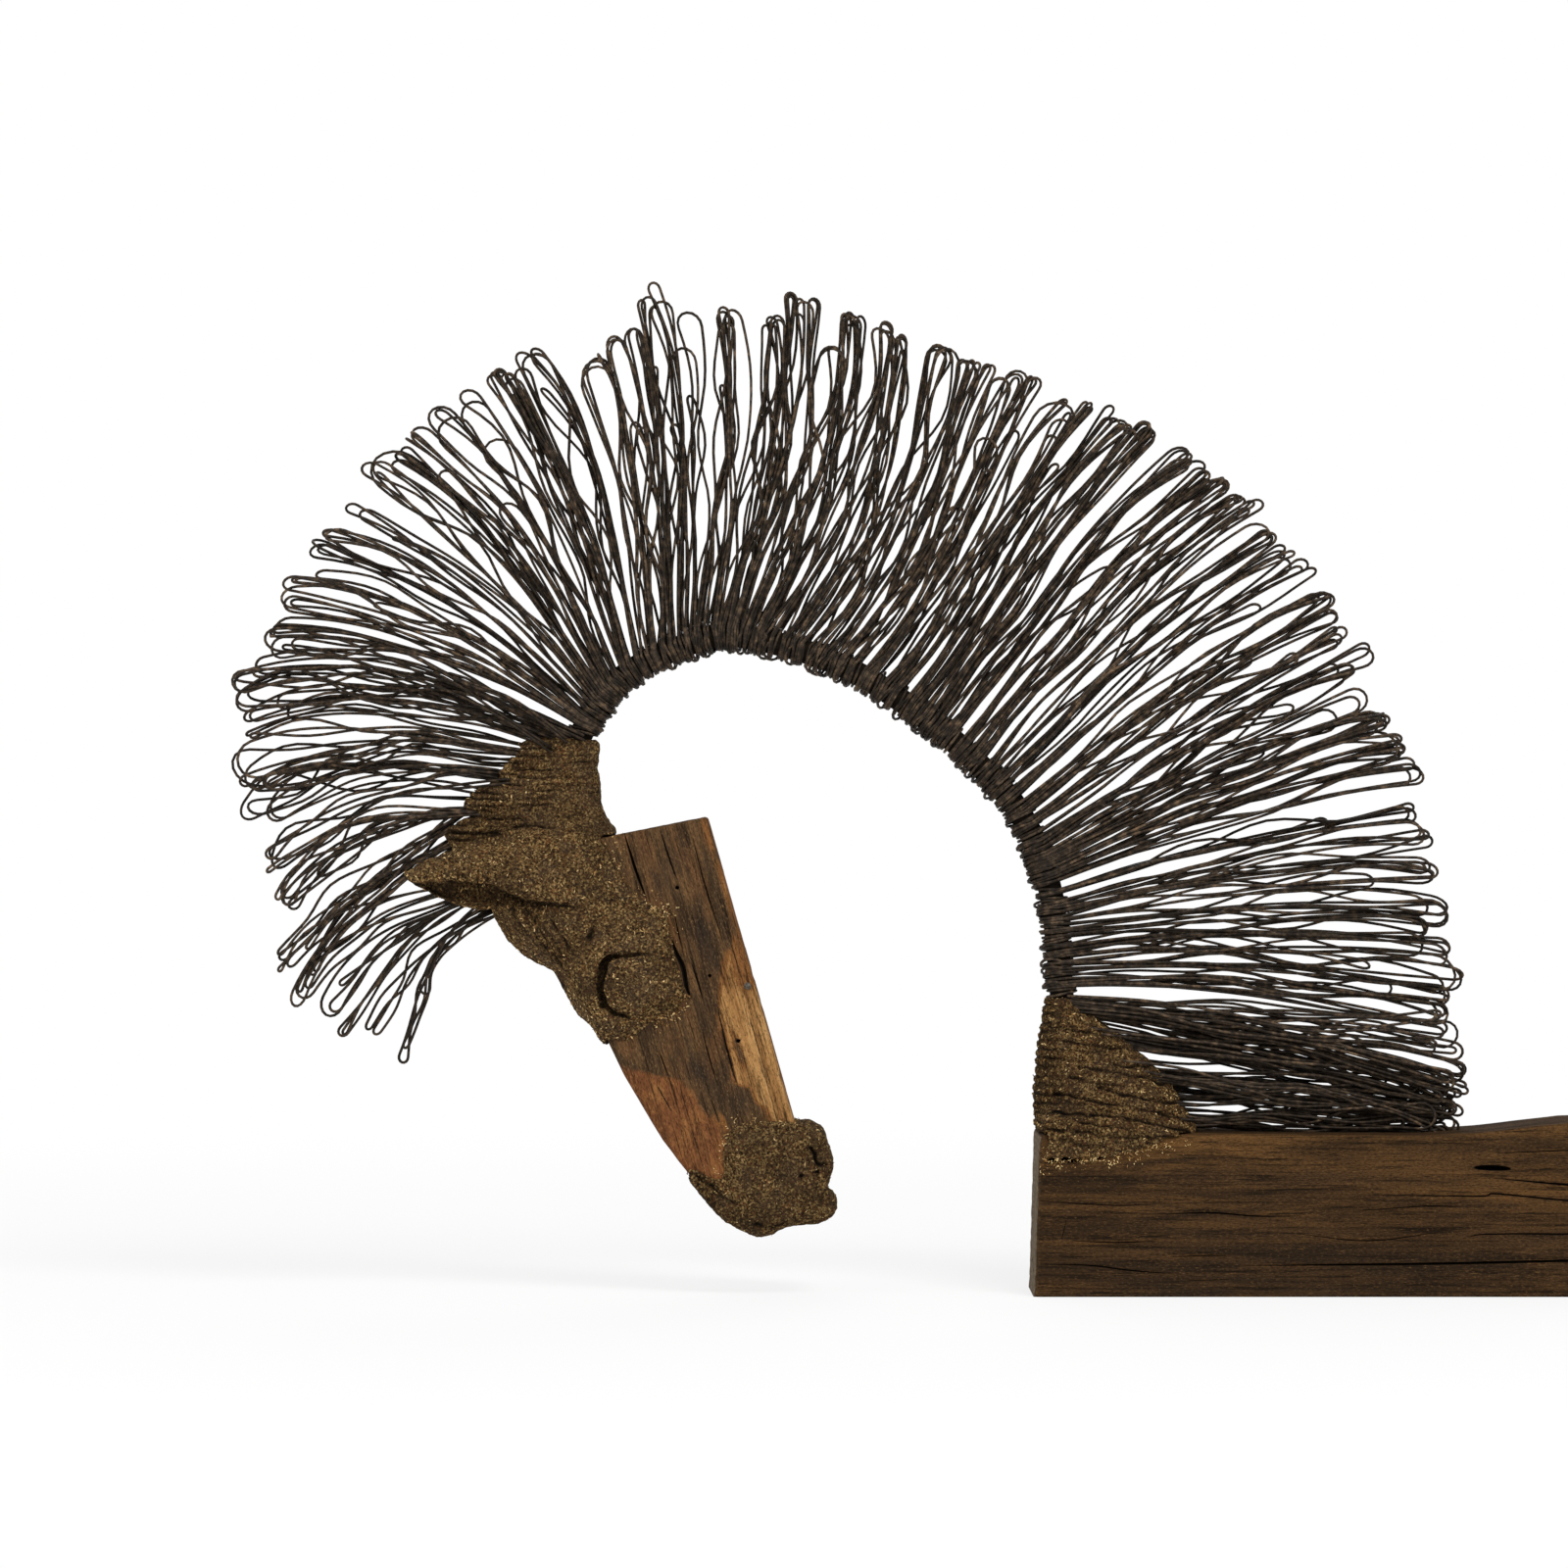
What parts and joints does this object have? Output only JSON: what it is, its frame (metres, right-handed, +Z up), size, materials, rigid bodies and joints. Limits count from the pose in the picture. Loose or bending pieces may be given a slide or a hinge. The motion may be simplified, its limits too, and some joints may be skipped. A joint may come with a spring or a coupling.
{
  "type": "wire horse sculpture",
  "caption": "Horse's head on an arched wire-wound neck with a mane of looped wire, standing on a length of squared timber cut flat below.",
  "frame": {"origin": "middle of the trunk timber's flat underside", "axes": "+Z up, the horse faces -X, +Y to its right"},
  "size_m": [1.1321, 0.0949, 0.6115],
  "materials": {
    "old_timber": "dark weathered timber",
    "plank": "old brown plank, worn in patches",
    "sawdust_paste": "rough sawdust and glue",
    "annealed_wire": "dark annealed wire"
  },
  "bodies": {
    "root": {"trunk_timber": "old_timber", "head_timber": "plank", "crown_paste": "sawdust_paste", "muzzle_paste": "sawdust_paste", "withers_paste": "sawdust_paste", "neck_winding": "annealed_wire", "mane_lock_01": "annealed_wire", "mane_lock_02": "annealed_wire", "mane_lock_03": "annealed_wire", "mane_lock_04": "annealed_wire", "mane_lock_05": "annealed_wire", "mane_lock_06": "annealed_wire", "mane_lock_07": "annealed_wire", "mane_lock_08": "annealed_wire", "mane_lock_09": "annealed_wire", "mane_lock_10": "annealed_wire", "mane_lock_11": "annealed_wire", "mane_lock_12": "annealed_wire", "mane_lock_13": "annealed_wire", "mane_lock_14": "annealed_wire", "mane_lock_15": "annealed_wire", "mane_lock_16": "annealed_wire", "mane_lock_17": "annealed_wire", "mane_lock_18": "annealed_wire", "mane_lock_19": "annealed_wire", "mane_lock_20": "annealed_wire", "mane_lock_21": "annealed_wire", "mane_lock_22": "annealed_wire", "mane_lock_23": "annealed_wire", "mane_lock_24": "annealed_wire", "mane_lock_25": "annealed_wire", "mane_lock_26": "annealed_wire", "mane_lock_27": "annealed_wire", "mane_lock_28": "annealed_wire", "mane_lock_29": "annealed_wire", "mane_lock_30": "annealed_wire", "mane_lock_31": "annealed_wire", "mane_lock_32": "annealed_wire", "mane_lock_33": "annealed_wire", "mane_lock_34": "annealed_wire", "mane_lock_35": "annealed_wire", "mane_lock_36": "annealed_wire", "mane_lock_37": "annealed_wire", "mane_lock_38": "annealed_wire", "mane_lock_39": "annealed_wire", "mane_lock_40": "annealed_wire"}
  },
  "joints": []
}
